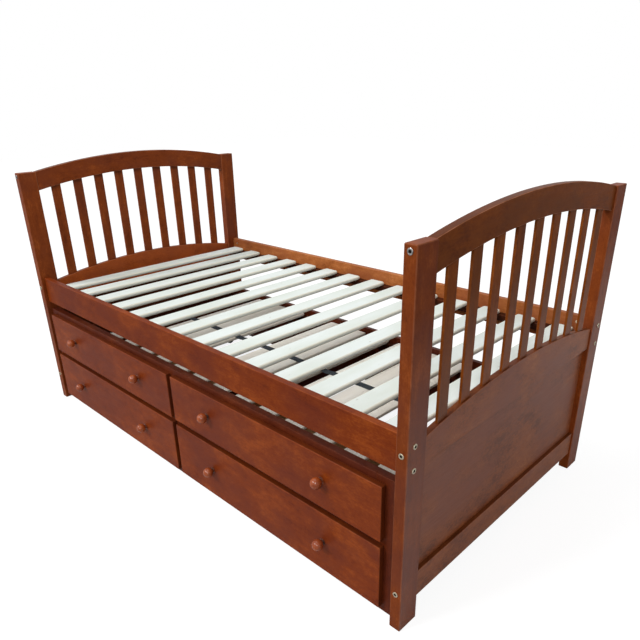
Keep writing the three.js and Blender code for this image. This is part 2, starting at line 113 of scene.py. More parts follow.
# Slats of the bed
MAIN_SLATS = 14
MAIN_SLAT_CORNER = 0.009
MAIN_SLAT_NOSE = 0.0072

# Fronts of the trundle and their knobs
FRONT_FACE_Y = -0.543
KNOB_X = (0.2145, 0.7265)
KNOB_Z = {"false_front": 0.345, "drawer_front": 0.139}

# Knob: radius and height of each ring of its foot and neck, of which the first lies inside the front.
# The ball on them starts and ends with rings of the start's and the tip's radius
KNOB_FOOT = (
    (0.0098, -0.0010),
    (0.0099, 0.0000),
    (0.0099, 0.0013),
    (0.0096, 0.0018),
    (0.0078, 0.0020),
    (0.0071, 0.0025),
    (0.0070, 0.0050),
)
KNOB_NECK = 0.006
BALL_RADIUS = 0.0165
BALL_MIDDLE = 0.0200
BALL_START = 0.0072
BALL_TIP = 0.0008
BALL_STEPS = 16
KNOB_SIDES = 32

# Slats of the trundle
TRUNDLE_SLATS = 13
TRUNDLE_SLAT_WIDTH = 0.082
TRUNDLE_SLAT_THICKNESS = 0.013
TRUNDLE_SLAT_CORNER = 0.007
TRUNDLE_SLAT_NOSE = 0.004

# Strap on these slats: its section, how far it lies above them, how far in from the edge of the first
# slat it starts, how far it sags between two slats, and its steps for each slat
STRAP_Y = 0.030
STRAP_HALF_WIDTH = 0.015
STRAP_THICKNESS = 0.0013
STRAP_EDGE = 0.0006
STRAP_EDGE_HEIGHT = 0.0003
STRAP_LIFT = 0.0001
STRAP_INSET = 0.004
STRAP_SAG = 0.0022
STRAP_STEPS = 16

# Radius of the rounded edges
ROUNDING = {
    "post": 0.0032,
    "end_rail": 0.002,
    "panel": 0.0005,
    "spindle": 0.0018,
    "side_rail": 0.0022,
    "ledger": 0.002,
    "front": 0.003,
    "frame": 0.0012,
    "hidden": 0.0015,
}

# An edge of an arched rail is rounded where its faces turn by more than the sharp angle, and an edge
# of a slat where they turn by more than the rim angle, both in radians.
# An edge is level where its two ends are no further apart in height than LEVEL_WITHIN
SHARP_ANGLE = 0.6
RIM_ANGLE = 1.2
LEVEL_WITHIN = 1e-6

# How strongly the large faces of a piece govern the shading of its rounded edges
EVEN_NORMALS = 80

# Floor and lamps: direction towards each lamp, its strength, and its width in degrees
FLOOR_REACH = 14.0
FLOOR_DROP = 0.0005
FLOOR_TONE = (0.62, 0.62, 0.62, 1)
FLOOR_GLOW = 1.45
FLOOR_GLOW_SHARE = 0.6
SKY_LIGHT = 0.26
LAMPS = {
    "key_light": ((-0.35, -0.7, 0.655), 1.66, 16.0),
    "front_light": ((0.4, -0.63, 0.54), 1.05, 10.0),
}
DECK_LIGHT_PLACE = (0.0, -0.35, 2.4)
DECK_LIGHT_TARGET = (0.0, 0.05, 0.55)
DECK_LIGHT_SIDE = 1.6
DECK_LIGHT_POWER = 17.5

# Camera worked out from the photo's straight edges, with its lens and sensor in millimetres
CAMERA_PLACE = (1.6526, -1.4643 + MIDDLE_Y, 1.2707)
CAMERA_RIGHT = (0.7151, 0.6987, -0.0183)
CAMERA_DOWN = (0.2767, -0.3071, -0.9105)
CAMERA_AHEAD = (-0.6419, 0.6461, -0.4130)
CAMERA_LENS = 33.337
CAMERA_SENSOR = 36.0
CAMERA_SHIFT = (-0.0026, 0.0713)
CAMERA_REACH = 60.0


# Colours are written as seen on screen and turned into linear light
def srgb(r, g, b):
    def linear(v):
        v = v / 255
        return v / 12.92 if v <= 0.04045 else ((v + 0.055) / 1.055) ** 2.4
    return (linear(r), linear(g), linear(b), 1.0)


def tones(*colours):
    return tuple(srgb(*colour) for colour in colours)


# Darkest, middle and lightest tone of each stain, the purple it drifts towards, and the tone of its worn
# edges, which is partly real wear and partly a painted highlight along the edges
STAIN = {
    "rail": tones((90, 32, 7), (116, 47, 12), (138, 63, 19), (94, 38, 24), (172, 98, 62)),
    "end": tones((90, 40, 6), (116, 56, 10), (138, 71, 17), (95, 50, 20), (176, 118, 90)),
    # Lighter copy for the head board: painted light on its dimly lit inner faces
    "head": tones((94, 39, 12), (122, 55, 19), (146, 72, 28), (102, 48, 30), (172, 114, 86)),
    "post": tones((92, 40, 14), (119, 55, 20), (141, 71, 30), (99, 48, 34), (168, 112, 84)),
    # Lighter copy for the low pieces of the end boards: painted light from the floor
    "panel": tones((95, 46, 20), (136, 72, 34), (169, 102, 54), (122, 67, 46), (160, 104, 78)),
    # Lighter copy for the head board's middle rail: painted light on its dim inner face
    "warm": tones((128, 58, 20), (158, 75, 30), (181, 94, 41), (131, 64, 38), (184, 122, 90)),
    "frame": tones((64, 21, 7), (84, 32, 12), (102, 44, 19), (70, 27, 20), (112, 58, 36)),
    # Lighter copy for the back side rail: painted light bounced from the pale slats
    "amber": tones((121, 62, 26), (158, 92, 47), (186, 117, 66), (138, 75, 46), (190, 130, 86)),
    # Darker copy for ledgers and cleats: painted shade under the slats
    "dark": tones((38, 15, 6), (56, 23, 9), (72, 31, 12), (48, 20, 13), (92, 46, 24)),
    # The knob's last tone is painted shade for its neck
    "knob": tones((120, 52, 22), (151, 72, 32), (176, 93, 47), (132, 60, 34), (52, 24, 12)),
}
# Painted shade for the sides of boards and for faces towards the middle of the bed
PAINTED_SHADE_TONE = srgb(58, 24, 9)

# How far the wood drifts towards its purple
PURPLE_SHARE = 0.6
PANEL_PURPLE_SHARE = 0.85

# Stretch of the year rings, and of the cells that hold a knot each, along and across the grain
RING_STRETCH = (0.3, 1.0, 1.0)
KNOT_STRETCH = (2.6, 7.0, 7.0)
KNOT_RADIUS = 0.075
KNOT_SHADE = 0.65

# Light that a pore sends back, and how much rougher a worn edge is
PORE_LIGHT = 0.84
WORN_ROUGHNESS = 0.35

# Stains with a thick lacquer: it fades between these two heights and shows only where a face is square
LACQUERED = ("end", "post", "panel")
LACQUER_FADE = (0.4, 0.92)
LACQUER_SHEEN = 0.55
LACQUER_SQUARENESS = 3.0
THIN_SHEEN = 0.05

# Main tone, shade, tone of the rounded edges, strength of the streaks and roughness of the slats
SLAT_LOOK = {
    "painted": (srgb(224, 231, 228), srgb(212, 219, 211), srgb(224, 218, 197), 0.3, 0.5),
    # The bare tones are raised towards white: painted light on the dim trundle deck
    "bare": (srgb(250, 246, 238), srgb(238, 231, 219), srgb(240, 231, 214), 0.5, 0.6),
    "tray": (srgb(190, 148, 106), srgb(164, 120, 80), srgb(190, 148, 106), 0.6, 0.6),
}
SPOT_TONE = srgb(150, 140, 122)
SOCKET_TONE = (0.02, 0.018, 0.015, 1)

# Turns that lay the grain along one of the three axes
GRAIN_TURN = {
    "x": (0, 0, 0),
    "y": (0, 0, -math.pi / 2),
    "z": (0, math.pi / 2, 0),
}

# Sockets of a node that mixes colours: factor and the two colours, and the result
MIX_INPUTS = (0, 6, 7)
MIX_RESULT = 2


# Node helpers
class Nodes:
    def __init__(self, tree):
        self.tree = tree
        self.tree.nodes.clear()

    def add(self, kind, **settings):
        node = self.tree.nodes.new(kind)
        for key, value in settings.items():
            setattr(node, key, value)
        return node

    def link(self, source, target):
        self.tree.links.new(source, target)

    # A number or a colour is set on the socket, and anything else is linked to it
    def feed(self, socket, value):
        if isinstance(value, (int, float, tuple)):
            socket.default_value = value
        else:
            self.link(value, socket)

    def set(self, node, **values):
        for key, value in values.items():
            self.feed(node.inputs[key.replace("_", " ")], value)
        return node

    def coordinates(self, turn=(0, 0, 0), offset=(0, 0, 0)):
        place = self.add("ShaderNodeTexCoord").outputs["Object"]
        mapping = self.add("ShaderNodeMapping")
        return self.set(mapping, Vector=place, Location=offset, Rotation=turn).outputs[0]

    def stretched(self, vector, scale):
        return self.set(self.add("ShaderNodeMapping"), Vector=vector, Scale=scale).outputs[0]

    def noise(self, vector, scale, detail=3.0, roughness=0.55):
        node = self.add("ShaderNodeTexNoise")
        self.set(node, Vector=vector, Scale=scale, Detail=detail, Roughness=roughness)
        return node.outputs["Fac"]

    # Noise drawn out along the grain: the larger a scale, the finer the noise in that direction
    def grain(self, vector, along, across, detail, roughness=0.55):
        return self.noise(self.stretched(vector, (along, across, across)), 1.0, detail, roughness)

    def span(self, value, low, high, to_low=0.0, to_high=1.0, smooth=True):
        node = self.add("ShaderNodeMapRange", interpolation_type="SMOOTHSTEP" if smooth else "LINEAR")
        self.set(node, Value=value, From_Min=low, From_Max=high, To_Min=to_low, To_Max=to_high)
        return node.outputs["Result"]

    def maths(self, operation, *values):
        node = self.add("ShaderNodeMath", operation=operation)
        for socket, value in zip(node.inputs, values):
            self.feed(socket, value)
        return node.outputs[0]

    def mix(self, factor, a, b, blend="MIX"):
        node = self.add("ShaderNodeMix", data_type="RGBA", blend_type=blend)
        for index, value in zip(MIX_INPUTS, (factor, a, b)):
            self.feed(node.inputs[index], value)
        return node.outputs[MIX_RESULT]

    # The three parts of a vector
    def parts(self, vector):
        node = self.add("ShaderNodeSeparateXYZ")
        self.link(vector, node.inputs[0])
        return node.outputs

    def normal(self):
        return self.parts(self.add("ShaderNodeNewGeometry").outputs["Normal"])

    # What mark_points wrote: 1 at the marked points of a mesh
    def marks(self):
        return self.add("ShaderNodeAttribute", attribute_name="edge").outputs["Fac"]


# The nodes of a material, with its shader linked to its output
class Surface(Nodes):
    def __init__(self, name):
        self.material = bpy.data.materials.new(name)
        self.material.use_nodes = True
        super().__init__(self.material.node_tree)
        self.output = self.add("ShaderNodeOutputMaterial")
        self.shader = self.add("ShaderNodeBsdfPrincipled")
        self.link(self.shader.outputs[0], self.output.inputs[0])

    def bump(self, height, distance, strength):
        node = self.set(self.add("ShaderNodeBump"), Height=height, Distance=distance, Strength=strength)
        self.link(node.outputs[0], self.shader.inputs["Normal"])


def random_offset(seed):
    rng = random.Random(seed)
    return tuple(rng.uniform(-3, 3) for _ in range(3))


# How squarely a surface faces away from the middle of the bed along X, and its height
def outward_and_height(n):
    place = n.parts(n.add("ShaderNodeTexCoord").outputs["Object"])
    outward = n.maths("MULTIPLY", n.normal()["X"], n.maths("SIGN", place["X"]))
    return outward, place["Z"]


# The outer faces of an end board carry a thick lacquer that is shinier towards the floor
def end_board_sheen(n):
    outward, height = outward_and_height(n)
    square = n.maths("POWER", n.maths("MAXIMUM", outward, 0.0), LACQUER_SQUARENESS)
    lacquer = n.span(height, *LACQUER_FADE, to_low=LACQUER_SHEEN, to_high=0.0)
    return n.maths("ADD", n.maths("MULTIPLY", square, lacquer), THIN_SHEEN)


# Stained and lacquered wood: clouds of stain, flecks, fine grain, a few small knots and lighter worn edges.
# Painted shade darkens the sides of a board, away from its face, which looks along the axis named by face,
# as far as rim says. Painted shade also darkens what looks towards the middle of the bed, as far as back
# says.
def stained_wood(
    piece, grain, stain, gloss=0.42, sheen=0.1, figure=1.0, wear=0.4, rim=0.0, face="Y", back=0.0
):
    dark, middle, light, purple, worn_and_painted_light_tone = STAIN[stain]
    n = Surface(f"stain_{piece}")
    base = n.coordinates(turn=GRAIN_TURN[grain], offset=random_offset(piece))

    waves = n.add("ShaderNodeTexWave", wave_type="BANDS", bands_direction="Y", wave_profile="SIN")
    n.set(waves, Vector=n.stretched(base, RING_STRETCH), Scale=11.0, Distortion=7.0)
    n.set(waves, Detail=2.0, Detail_Scale=1.4, Detail_Roughness=0.55)
    rings = waves.outputs["Fac"]
    fibres = n.grain(base, along=14.0, across=420.0, detail=3.0, roughness=0.65)
    pores = n.grain(base, along=40.0, across=1000.0, detail=1.0)
    flecks = n.grain(base, along=110.0, across=190.0, detail=2.0, roughness=0.7)
    mottle = n.grain(base, along=20.0, across=34.0, detail=4.0, roughness=0.6)
    cloud = n.grain(base, along=5.0, across=9.0, detail=2.0, roughness=0.5)
    drift = n.grain(base, along=4.0, across=7.0, detail=3.0, roughness=0.6)

    tone = 0.0
    for layer, low, high, share in (
        (cloud, 0.28, 0.72, 0.26),
        (mottle, 0.3, 0.7, 0.28),
        (flecks, 0.32, 0.68, 0.22),
        (rings, 0.1, 0.95, 0.12 * figure),
        (fibres, 0.28, 0.72, 0.2 * figure),
    ):
        tone = n.maths("ADD", tone, n.maths("MULTIPLY", n.span(layer, low, high), share))
    deep = n.mix(n.span(tone, 0.08, 0.5), dark, middle)
    colour = n.mix(n.span(tone, 0.48, 0.92), deep, light)
    purple_share = PANEL_PURPLE_SHARE if stain == "panel" else PURPLE_SHARE
    colour = n.mix(n.span(drift, 0.42, 0.66, to_high=purple_share), colour, purple)

    knots = n.add("ShaderNodeTexVoronoi", feature="F1")
    n.set(knots, Vector=n.stretched(base, KNOT_STRETCH), Scale=1.0, Randomness=1.0)
    knot = n.span(knots.outputs["Distance"], 0.0, KNOT_RADIUS, to_low=1.0, to_high=0.0)
    colour = n.mix(n.maths("MULTIPLY", knot, KNOT_SHADE), colour, dark)

    # Marked points take the worn tone: on edges partly real wear and partly a painted highlight, on a
    # knob's neck painted shade
    wear_and_painted_light = n.maths("MULTIPLY", n.marks(), n.span(mottle, 0.3, 0.65, to_low=0.3 * wear, to_high=wear))
    colour = n.mix(wear_and_painted_light, colour, worn_and_painted_light_tone)
    # Painted shade on the sides of the board, away from its face
    if rim:
        squareness = n.maths("ABSOLUTE", n.normal()[face])
        colour = n.mix(n.span(squareness, 0.25, 0.9, to_low=rim, to_high=0.0), colour, PAINTED_SHADE_TONE)
    # Painted shade on the faces that look towards the middle of the bed
    if back:
        outward, _ = outward_and_height(n)
        colour = n.mix(n.span(outward, -0.8, -0.3, to_low=back, to_high=0.0), colour, PAINTED_SHADE_TONE)
    pore_shade = n.span(pores, 0.58, 0.74, to_low=1.0, to_high=PORE_LIGHT)
    colour = n.mix(1.0, colour, n.mix(pore_shade, (0, 0, 0, 1), (1, 1, 1, 1)), blend="MULTIPLY")

    rough = n.span(fibres, 0.2, 0.8, to_low=gloss - 0.06, to_high=gloss + 0.1, smooth=False)
    rough = n.maths("ADD", rough, n.maths("MULTIPLY", wear_and_painted_light, WORN_ROUGHNESS))
    n.set(n.shader, Base_Color=colour, Roughness=rough, Specular_IOR_Level=sheen)
    if stain in LACQUERED:
        n.set(n.shader, Specular_IOR_Level=end_board_sheen(n))
    relief = n.maths("ADD", n.maths("MULTIPLY", fibres, 0.5), n.maths("MULTIPLY", pores, 0.5))
    relief = n.maths("ADD", relief, n.maths("MULTIPLY", rings, 0.3))
    n.bump(relief, distance=0.00016, strength=0.7)
    return n.material


# Slats and trays: pale paint over wood, or bare wood
def slat_wood(name, piece, look, grain="y"):
    main, shade, rounded, streak, rough = SLAT_LOOK[look]
    n = Surface(name)
    base = n.coordinates(turn=GRAIN_TURN[grain], offset=random_offset(piece))
    fibres = n.grain(base, along=6.0, across=260.0, detail=3.0, roughness=0.6)
    patches = n.grain(base, along=3.0, across=9.0, detail=3.0)
    spots = n.grain(base, along=40.0, across=90.0, detail=1.0)
    colour = n.mix(n.span(patches, 0.3, 0.7), main, shade)
    colour = n.mix(n.span(fibres, 0.5, 0.78, to_high=streak), colour, shade)
    colour = n.mix(n.maths("MULTIPLY", n.marks(), 0.6), colour, rounded)
    colour = n.mix(n.span(spots, 0.74, 0.8, to_high=0.35), colour, SPOT_TONE)
    roughness = n.span(fibres, 0.2, 0.8, to_low=rough - 0.08, to_high=rough + 0.08, smooth=False)
    n.set(n.shader, Base_Color=colour, Roughness=roughness, Specular_IOR_Level=0.25)
    n.bump(n.maths("ADD", fibres, n.maths("MULTIPLY", patches, 0.6)), distance=0.0002, strength=0.7)
    return n.material


# Plated or painted metal, with the marked points in the shade of a socket
def metal(name, colour, stain, rough):
    n = Surface(name)
    base = n.coordinates()
    scuff = n.noise(base, 900.0, detail=3.0)
    stains = n.noise(base, 220.0, detail=2.0)
    plated = n.mix(n.span(stains, 0.35, 0.7), colour, stain)
    roughness = n.span(scuff, 0.2, 0.8, to_low=rough - 0.1, to_high=rough + 0.12, smooth=False)
    n.set(n.shader, Base_Color=n.mix(n.marks(), plated, SOCKET_TONE), Roughness=roughness, Metallic=1.0)
    n.bump(scuff, distance=0.00004, strength=0.6)
    return n.material


# Moulded plastic, lighter where it is worn
def plastic(name, colour, light, rough):
    n = Surface(name)
    base = n.coordinates()
    texture = n.noise(base, 1400.0, detail=2.0)
    wear = n.noise(base, 60.0, detail=3.0)
    roughness = n.span(wear, 0.2, 0.8, to_low=rough - 0.08, to_high=rough + 0.1, smooth=False)
    n.set(n.shader, Base_Color=n.mix(n.span(wear, 0.4, 0.75), colour, light), Roughness=roughness)
    n.bump(texture, distance=0.00005, strength=0.6)
    return n.material


# Webbing: two sets of threads across each other
def webbing(name):
    n = Surface(name)
    base = n.coordinates()
    along = n.add("ShaderNodeTexWave", wave_type="BANDS", bands_direction="X")
    across = n.add("ShaderNodeTexWave", wave_type="BANDS", bands_direction="Y")
    n.set(along, Vector=base, Scale=160.0, Distortion=0.4, Detail=1.0)
    n.set(across, Vector=base, Scale=110.0, Distortion=0.2, Detail=1.0)
    weave = n.maths("MULTIPLY", along.outputs["Fac"], across.outputs["Fac"])
    fuzz = n.noise(base, 900.0, detail=2.0)
    tone = n.maths("ADD", n.maths("MULTIPLY", weave, 0.7), n.maths("MULTIPLY", fuzz, 0.3))
    colour = n.mix(n.span(tone, 0.15, 0.75), srgb(24, 29, 36), srgb(62, 72, 82))
    roughness = n.span(fuzz, 0.2, 0.8, to_low=0.75, to_high=0.95, smooth=False)
    n.set(n.shader, Base_Color=colour, Roughness=roughness)
    n.bump(tone, distance=0.0003, strength=0.9)
    return n.material


# The bolts into the top rails have another plating than the rest
BOLT_METAL = {
    "pale": metal("bolt_nickel", srgb(222, 213, 190), srgb(182, 172, 148), rough=0.38),
    "dark": metal("bolt_chrome", srgb(196, 194, 192), srgb(112, 108, 106), rough=0.22),
}


# Mesh helpers
def add_object(name, data):
    made = bpy.data.objects.new(name, data)
    bpy.context.scene.collection.objects.link(made)
    return made


def finish_piece(name, bm, material, body, replaced=()):
    bmesh.ops.recalc_face_normals(bm, faces=bm.faces)
    mesh = bpy.data.meshes.new(name)
    bm.to_mesh(mesh)
    bm.free()
    mesh.materials.append(material)
    for polygon in mesh.polygons:
        polygon.use_smooth = True
    piece = add_object(name, mesh)
    weigh = piece.modifiers.new("even_normals", "WEIGHTED_NORMAL")
    weigh.keep_sharp = True
    weigh.weight = EVEN_NORMALS
    if replaced:
        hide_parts(*replaced)
    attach(piece, body)


def round_edges(bm, edges, radius, segments=3):
    result = bmesh.ops.bevel(
        bm,
        geom=list(edges),
        offset=radius,
        segments=segments,
        profile=0.5,
        affect="EDGES",
        clamp_overlap=True,
    )
    return set(result["faces"])


# Writes 1 at the chosen points: worn edges that are partly a painted highlight, and painted shade in bolt
# sockets and at knob necks
def mark_points(bm, chosen):
    layer = bm.verts.layers.float.new("edge")
    for vert in bm.verts:
        vert[layer] = 1.0 if chosen(vert) else 0.0


def mark_edges(bm, rounded):
    mark_points(bm, lambda vert: vert.link_faces and all(face in rounded for face in vert.link_faces))


def box_mesh(low, high):
    bm = bmesh.new()
    bmesh.ops.create_cube(bm, size=1.0)
    middle = [(a + b) / 2 for a, b in zip(low, high)]
    size = [b - a for a, b in zip(low, high)]
    for vert in bm.verts:
        vert.co = Vector(m + c * s for m, c, s in zip(middle, vert.co, size))
    return bm


def board(name, low, high, radius, material, body, replaced=(), segments=3):
    bm = box_mesh(low, high)
    mark_edges(bm, round_edges(bm, bm.edges, radius, segments))
    finish_piece(name, bm, material, body, replaced)


# A CAD board shown again with rounded edges and its own grain.
# low and high leave out what its solid carries, such as knobs and nuts
def dress_board(node, grain, radius, stain="rail", low=None, high=None, slot=RAIL_SLOT, **look):
    box_low, box_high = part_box(node)
    low = low or tuple(box_low)
    high = high or tuple(box_high)
    material = stained_wood(node, grain, stain, **look)
    board(f"{node}_board", low, high, radius, material, BODY_OF[node], (node,))


# The pair of places at one side of the bed's middle, the lower first
def between(side, inner, outer):
    return (inner, outer) if side > 0 else (-outer, -inner)


def outline_mesh(outline, x_low, x_high):
    bm = bmesh.new()
    verts = [bm.verts.new((x_low, y, z)) for y, z in outline]
    face = bm.faces.new(verts)
    made = bmesh.ops.extrude_face_region(bm, geom=[face])
    for item in made["geom"]:
        if isinstance(item, bmesh.types.BMVert):
            item.co.x = x_high
    bmesh.ops.recalc_face_normals(bm, faces=bm.faces)
    return bm


def sharp_edges(bm):
    return [edge for edge in bm.edges if len(edge.link_faces) == 2 and edge.calc_face_angle() > SHARP_ANGLE]


# Height of an arch over the bed's width: end is its height at the posts
def arch_height(y, end, rise):
    reach = POST_Y[0]
    radius = (reach ** 2 + rise ** 2) / (2 * rise)
    drop = math.sqrt(radius ** 2 - reach ** 2)
    return end + math.sqrt(radius ** 2 - y ** 2) - drop


def arch_line(end, rise, side):
    line = []
    for step in range(ARCH_STEPS + 1):
        y = side * POST_Y[0] * (1 - 2 * step / ARCH_STEPS)
        line.append((y + MIDDLE_Y, arch_height(y, end, rise)))
    return line


# End boards
def arched_rail(node, outline, side, thickness, stain, wear):
    low_x, high_x = between(side, RAIL_OUTER_X - thickness, RAIL_OUTER_X)
    bm = outline_mesh(outline, low_x, high_x)
    mark_edges(bm, round_edges(bm, sharp_edges(bm), ROUNDING["end_rail"]))
    # Painted shade on the rail's top and bottom faces
    material = stained_wood(node, "y", stain, figure=0.5, wear=wear, rim=0.6, face="X")
    finish_piece(f"{node}_board", bm, material, BODY_OF[node], (node,))


def spindles(board_name, side, stain):
    gap = (2 * POST_Y[0] - SPINDLES * SPINDLE_WIDTH) / (SPINDLES + 1)
    x = side * RAIL_MIDDLE_X
    for index in range(SPINDLES):
        y = (index - (SPINDLES - 1) / 2) * (gap + SPINDLE_WIDTH)
        nearer = max(abs(y) - SPINDLE_WIDTH / 2, 0)
        farther = abs(y) + SPINDLE_WIDTH / 2
        under = arch_height(farther, MID_RAIL_TOP, MID_RAIL_RISE) - SPINDLE_TENON
        over = arch_height(nearer, TOP_RAIL_UNDER, TOP_RAIL_RISE) + SPINDLE_TENON
        low = (x - SPINDLE_THICKNESS / 2, y - SPINDLE_WIDTH / 2 + MIDDLE_Y, under)
        high = (x + SPINDLE_THICKNESS / 2, y + SPINDLE_WIDTH / 2 + MIDDLE_Y, over)
        name = f"{board_name}_spindle_{index + 1}"
        material = stained_wood(name, "z", stain, figure=0.8, wear=0.15)
        board(name, low, high, ROUNDING["spindle"], material, "bed_frame")


def end_board(board_name):
    side, stain, rail_stain, post_stain = END_BOARDS[board_name]
    top = arch_line(TOP_RAIL_UNDER, TOP_RAIL_RISE, -1) + arch_line(TOP_RAIL_TOP, TOP_RAIL_RISE, 1)
    arched_rail(f"{board_name}_top_rail", top, side, TOP_RAIL_THICKNESS, stain, wear=1.2)
    underside = [(y + MIDDLE_Y, MID_RAIL_UNDER) for y in (-POST_Y[0], POST_Y[0])]
    middle = underside + arch_line(MID_RAIL_TOP, MID_RAIL_RISE, 1)
    arched_rail(f"{board_name}_spindle_rail", middle, side, RAIL_THICKNESS, rail_stain, wear=0.5)
    bottom, panel = f"{board_name}_bottom_rail", f"{board_name}_panel"
    # Painted shade on the bottom rail's top and bottom faces and on the panel's face towards the bed
    dress_board(bottom, "y", ROUNDING["end_rail"], "panel", slot=END_SLOT, figure=0.3, rim=0.6, face="X")
    dress_board(panel, "y", ROUNDING["panel"], "panel", slot=END_SLOT, figure=0.15, back=0.8)
    spindles(board_name, side, stain)
    for place, depth_side in (("front", -1), ("back", 1)):
        post(f"{board_name}_post_{place}", side, depth_side, post_stain)


def post(node, end, side, stain):
    x = between(end, *POST_X)
    y = [v + MIDDLE_Y for v in between(side, *POST_Y)]
    material = stained_wood(node, "z", stain, figure=0.7, wear=0.3)
    low = (x[0], y[0], 0.0)
    high = (x[1], y[1], POST_HEIGHT)
    board(f"{node}_board", low, high, ROUNDING["post"], material, "bed_frame", (node,), 4)
    for count, z in enumerate(RAIL_BOLTS, 1):
        place = (end * POST_MIDDLE_X, side * POST_Y[1] + MIDDLE_Y, z)
        bolt_head(f"{node}_bolt_{count}", place, (0, side, 0), "dark" if z == max(RAIL_BOLTS) else "pale")
    for count, z in enumerate(SIDE_BOLTS, len(RAIL_BOLTS) + 1):
        place = (end * POST_X[1], side * SIDE_RAIL_MIDDLE_Y + MIDDLE_Y, z)
        bolt_head(f"{node}_bolt_{count}", place, (end, 0, 0), "pale")


# Round things: rings of points around an axis, joined one to the next and closed at both ends
def rings_mesh(rings):
    bm = bmesh.new()
    rows = [[bm.verts.new(point) for point in ring] for ring in rings]
    for a, b in zip(rows, rows[1:]):
        for i in range(len(a)):
            j = (i + 1) % len(a)
            bm.faces.new((a[i], a[j], b[j], b[i]))
    bm.faces.new(list(reversed(rows[0])))
    bm.faces.new(rows[-1])
    return bm


# The place and turn of a round thing that looks in a level direction
def frame_on(place, direction):
    ahead = Vector(direction)
    up = Vector((0, 0, 1))
    turn = Matrix((up.cross(ahead), up, ahead)).transposed().to_4x4()
    return Matrix.Translation(place) @ turn


def circle(radius, height, sides):
    return [
        (radius * math.cos(2 * math.pi * i / sides), radius * math.sin(2 * math.pi * i / sides), height)
        for i in range(sides)
    ]


# A hexagon with as many points as the round rings, so that it can be joined to them
def hexagon(radius, height):
    steps = SMALL_RING_SIDES // SOCKET_CORNERS
    points = []
    for corner in range(SOCKET_CORNERS):
        a = 2 * math.pi * corner / SOCKET_CORNERS
        b = 2 * math.pi * (corner + 1) / SOCKET_CORNERS
        for step in range(steps):
            t = step / steps
            x = radius * (math.cos(a) * (1 - t) + math.cos(b) * t)
            y = radius * (math.sin(a) * (1 - t) + math.sin(b) * t)
            points.append((x, y, height))
    return points


def bolt_head(name, place, direction, tone):
    rings = [circle(radius, height, SMALL_RING_SIDES) for radius, height in BOLT_RIM]
    rings += [hexagon(radius, height) for radius, height in BOLT_SOCKET]
    bm = rings_mesh(rings)
    mark_points(bm, lambda vert: math.hypot(vert.co.x, vert.co.y) < BOLT_SOCKET_REACH)
    bm.transform(frame_on(place, direction))
    finish_piece(name, bm, BOLT_METAL[tone], "bed_frame")


def slot_ring(end_share, side_share, width_share, height):
    points = []
    for x, y, _ in circle(NUT_RADIUS, 0, SMALL_RING_SIDES):
        length_share = end_share if abs(y) < NUT_SLOT_END else side_share
        points.append((x * length_share, y * width_share, height))
    return points


def barrel_nut(name, place, direction):
    rings = [circle(radius, height, SMALL_RING_SIDES) for radius, height in NUT_RIM]
    rings += [slot_ring(*row) for row in NUT_SLOT]
    bm = rings_mesh(rings)
    bm.transform(frame_on(place, direction))
    finish_piece(name, bm, BOLT_METAL["pale"], "bed_frame")


def side_rails():
    # The back rail takes the lighter amber stain: painted light
    for place, side, stain in (("front", -1, "rail"), ("back", 1, "amber")):
        node = f"side_rail_{place}"
        box_low, box_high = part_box(node)
        y = [v + MIDDLE_Y for v in between(side, *SIDE_RAIL_Y)]
        low = (box_low[0], y[0], box_low[2])
        high = (box_high[0], y[1], box_high[2])
        dress_board(node, "x", ROUNDING["side_rail"], stain, low, high, wear=0.3, sheen=0.06)
        # The ledgers take the dark stain: painted shade
        dress_board(f"slat_ledger_{place}", "x", ROUNDING["ledger"], "dark")
        for hand, end in (("head", -1), ("foot", 1)):
            spot = (end * NUT_X, side * SIDE_RAIL_Y[0] + MIDDLE_Y, max(SIDE_BOLTS))
            barrel_nut(f"barrel_nut_{place}_{hand}", spot, (0, -side, 0))


# Slats with rounded corners and a bullnose all round
def slat_mesh(low, high, corner, nose, segments):
    def is_level(edge):
        return abs(edge.verts[0].co.z - edge.verts[1].co.z) < LEVEL_WITHIN

    bm = box_mesh(low, high)
    round_edges(bm, [edge for edge in bm.edges if not is_level(edge)], corner)
    rim = [edge for edge in bm.edges if is_level(edge) and edge.calc_face_angle() > RIM_ANGLE]
    mark_edges(bm, round_edges(bm, rim, nose, segments))
    return bm


def main_slats():
    for number in range(1, MAIN_SLATS + 1):
        node = f"main_slat_{number:02d}"
        low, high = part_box(node)
        bm = slat_mesh(tuple(low), tuple(high), MAIN_SLAT_CORNER, MAIN_SLAT_NOSE, segments=5)
        paint = slat_wood(f"paint_{node}", node, "painted")
        finish_piece(f"{node}_board", bm, paint, "bed_frame", (node,))


# Trundle fronts and their frame
def knob(name, x, face_y, z, body):
    profile = list(KNOB_FOOT)
    start = math.asin(BALL_START / BALL_RADIUS)
    for step in range(BALL_STEPS):
        angle = start + (math.pi - start) * step / BALL_STEPS
        profile.append((BALL_RADIUS * math.sin(angle), BALL_MIDDLE - BALL_RADIUS * math.cos(angle)))
    profile.append((BALL_TIP, BALL_MIDDLE + BALL_RADIUS))
    bm = rings_mesh([circle(radius, height, KNOB_SIDES) for radius, height in profile])
    # The neck is marked, and the knob stain's last tone paints it dark: painted shade under the ball
    mark_points(bm, lambda vert: vert.co.z < KNOB_NECK)
    bm.transform(frame_on((x, face_y, z), (0, -1, 0)))
    material = stained_wood(name, "y", "knob", gloss=0.2, sheen=0.36, wear=1.0)
    finish_piece(name, bm, material, body)


